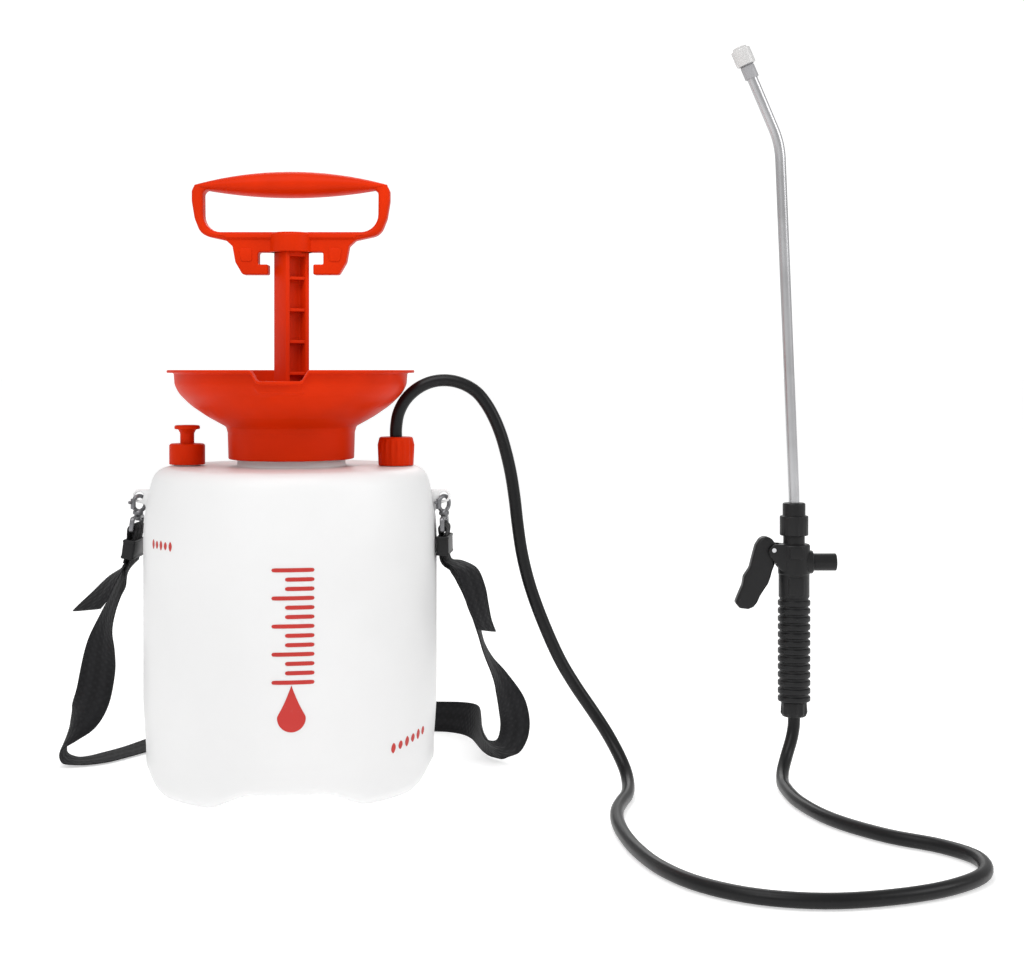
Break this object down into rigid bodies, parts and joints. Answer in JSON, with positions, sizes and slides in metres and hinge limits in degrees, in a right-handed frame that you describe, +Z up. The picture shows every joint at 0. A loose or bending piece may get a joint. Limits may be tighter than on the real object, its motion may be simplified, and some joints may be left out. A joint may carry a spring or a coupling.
{
  "type": "pump sprayer",
  "caption": "Hand pump pressure sprayer: translucent tank with filling funnel, plunger pump, relief valve, hose to a hand valve with bent lance and nozzle, and a shoulder strap.",
  "frame": {"origin": "on the floor, on the tank's axis", "axes": "+Z up along the tank and the pump, -Y to the front, +X from the tank to the outlet, the hose and the hand valve"},
  "size_m": [0.5894, 0.4478, 0.5057],
  "materials": {
    "translucent_plastic": "satin",
    "red_plastic": "satin",
    "black_plastic": "satin",
    "white_plastic": "satin",
    "grey_plastic": "satin",
    "clear_plastic": "gloss",
    "black_rubber": "matt",
    "black_hose": "satin",
    "steel": "brushed",
    "lance_metal": "satin",
    "grey_metal": "dark plated",
    "webbing": "woven"
  },
  "bodies": {
    "base": {"tank": "translucent_plastic", "funnel": "red_plastic", "funnel_gasket": "black_rubber", "relief_seat": "black_plastic", "relief_gasket": "black_rubber", "relief_nut": "red_plastic", "relief_spring": "steel", "outlet_nut": "red_plastic", "outlet_barb": "black_plastic", "outlet_gasket": "black_rubber", "dip_tube": "white_plastic", "dip_filter": "black_plastic", "hose": "black_hose", "grip": "black_plastic", "grip_cap": "black_plastic", "grip_barb": "black_plastic", "grip_filter": "white_plastic", "trigger_pin": "steel", "valve_cap": "black_plastic", "valve_spring": "steel", "lance_nut": "black_plastic", "lance_seal": "black_rubber", "strap": "webbing", "strap_hook_left": "grey_metal", "strap_hook_right": "grey_metal", "slider_left": "black_plastic", "slider_right": "black_plastic"},
    "pump_seal_ring": {"pump_gasket": "black_rubber"},
    "pump": {"pump_cylinder": "red_plastic", "pump_cap": "red_plastic", "check_valve": "black_rubber"},
    "plunger": {"piston": "white_plastic", "piston_seal": "black_rubber"},
    "plunger_handle": {"rod": "red_plastic", "handle": "red_plastic", "handle_pin": "steel"},
    "relief_knob": {"relief_stem": "red_plastic", "relief_seal": "black_rubber"},
    "trigger_lever": {"trigger": "black_plastic"},
    "valve_plunger": {"valve_stem": "steel", "valve_seal": "black_rubber"},
    "lance": {"lance_tube": "lance_metal", "nozzle_body": "grey_plastic", "nozzle_core": "grey_plastic", "nozzle_seal": "black_rubber"},
    "nozzle_tip": {"nozzle_cap": "clear_plastic"}
  },
  "joints": [
    {"name": "pump_lift", "type": "slide", "parent": "base", "child": "pump_seal_ring", "axis": [0, 0, 1], "range_m": [0, 0.25]},
    {"name": "pump_unscrew", "type": "hinge", "parent": "pump_seal_ring", "child": "pump", "pos_m": [0, 0, 0.243], "axis": [0, 0, 1], "continuous": true},
    {"name": "piston_slide", "type": "slide", "parent": "pump", "child": "plunger", "axis": [0, 0, 1], "range_m": [-0.096, 0.07]},
    {"name": "handle_turn", "type": "hinge", "parent": "plunger", "child": "plunger_handle", "pos_m": [0, 0, 0.16], "axis": [0, 0, 1], "continuous": true},
    {"name": "relief_pull", "type": "slide", "parent": "base", "child": "relief_knob", "axis": [0, 0, 1], "range_m": [0, 0.003], "stiffness_N_per_m": 400, "springref_m": -0.004, "deforming": ["relief_spring"]},
    {"name": "trigger_squeeze", "type": "hinge", "parent": "base", "child": "trigger_lever", "pos_m": [0.3315, 0, 0.1575], "axis": [0, -1, 0], "range_deg": [0, 15], "stiffness_Nm_per_rad": 0.4, "springref_deg": -11.46},
    {"name": "valve_push", "type": "slide", "parent": "base", "child": "valve_plunger", "axis": [1, 0, 0], "range_m": [0, 0.0024], "deforming": ["valve_spring"]},
    {"name": "lance_swivel", "type": "hinge", "parent": "base", "child": "lance", "pos_m": [0.3465, 0, 0.17], "axis": [0, 0, 1], "continuous": true},
    {"name": "nozzle_turn", "type": "hinge", "parent": "lance", "child": "nozzle_tip", "pos_m": [0.31227, 0, 0.49496], "axis": [-0.3891, 0, 0.9212], "continuous": true}
  ],
  "couplings": [
    {"joint": "valve_push", "follows": "trigger_squeeze", "m_per_rad": 0.0089}
  ]
}
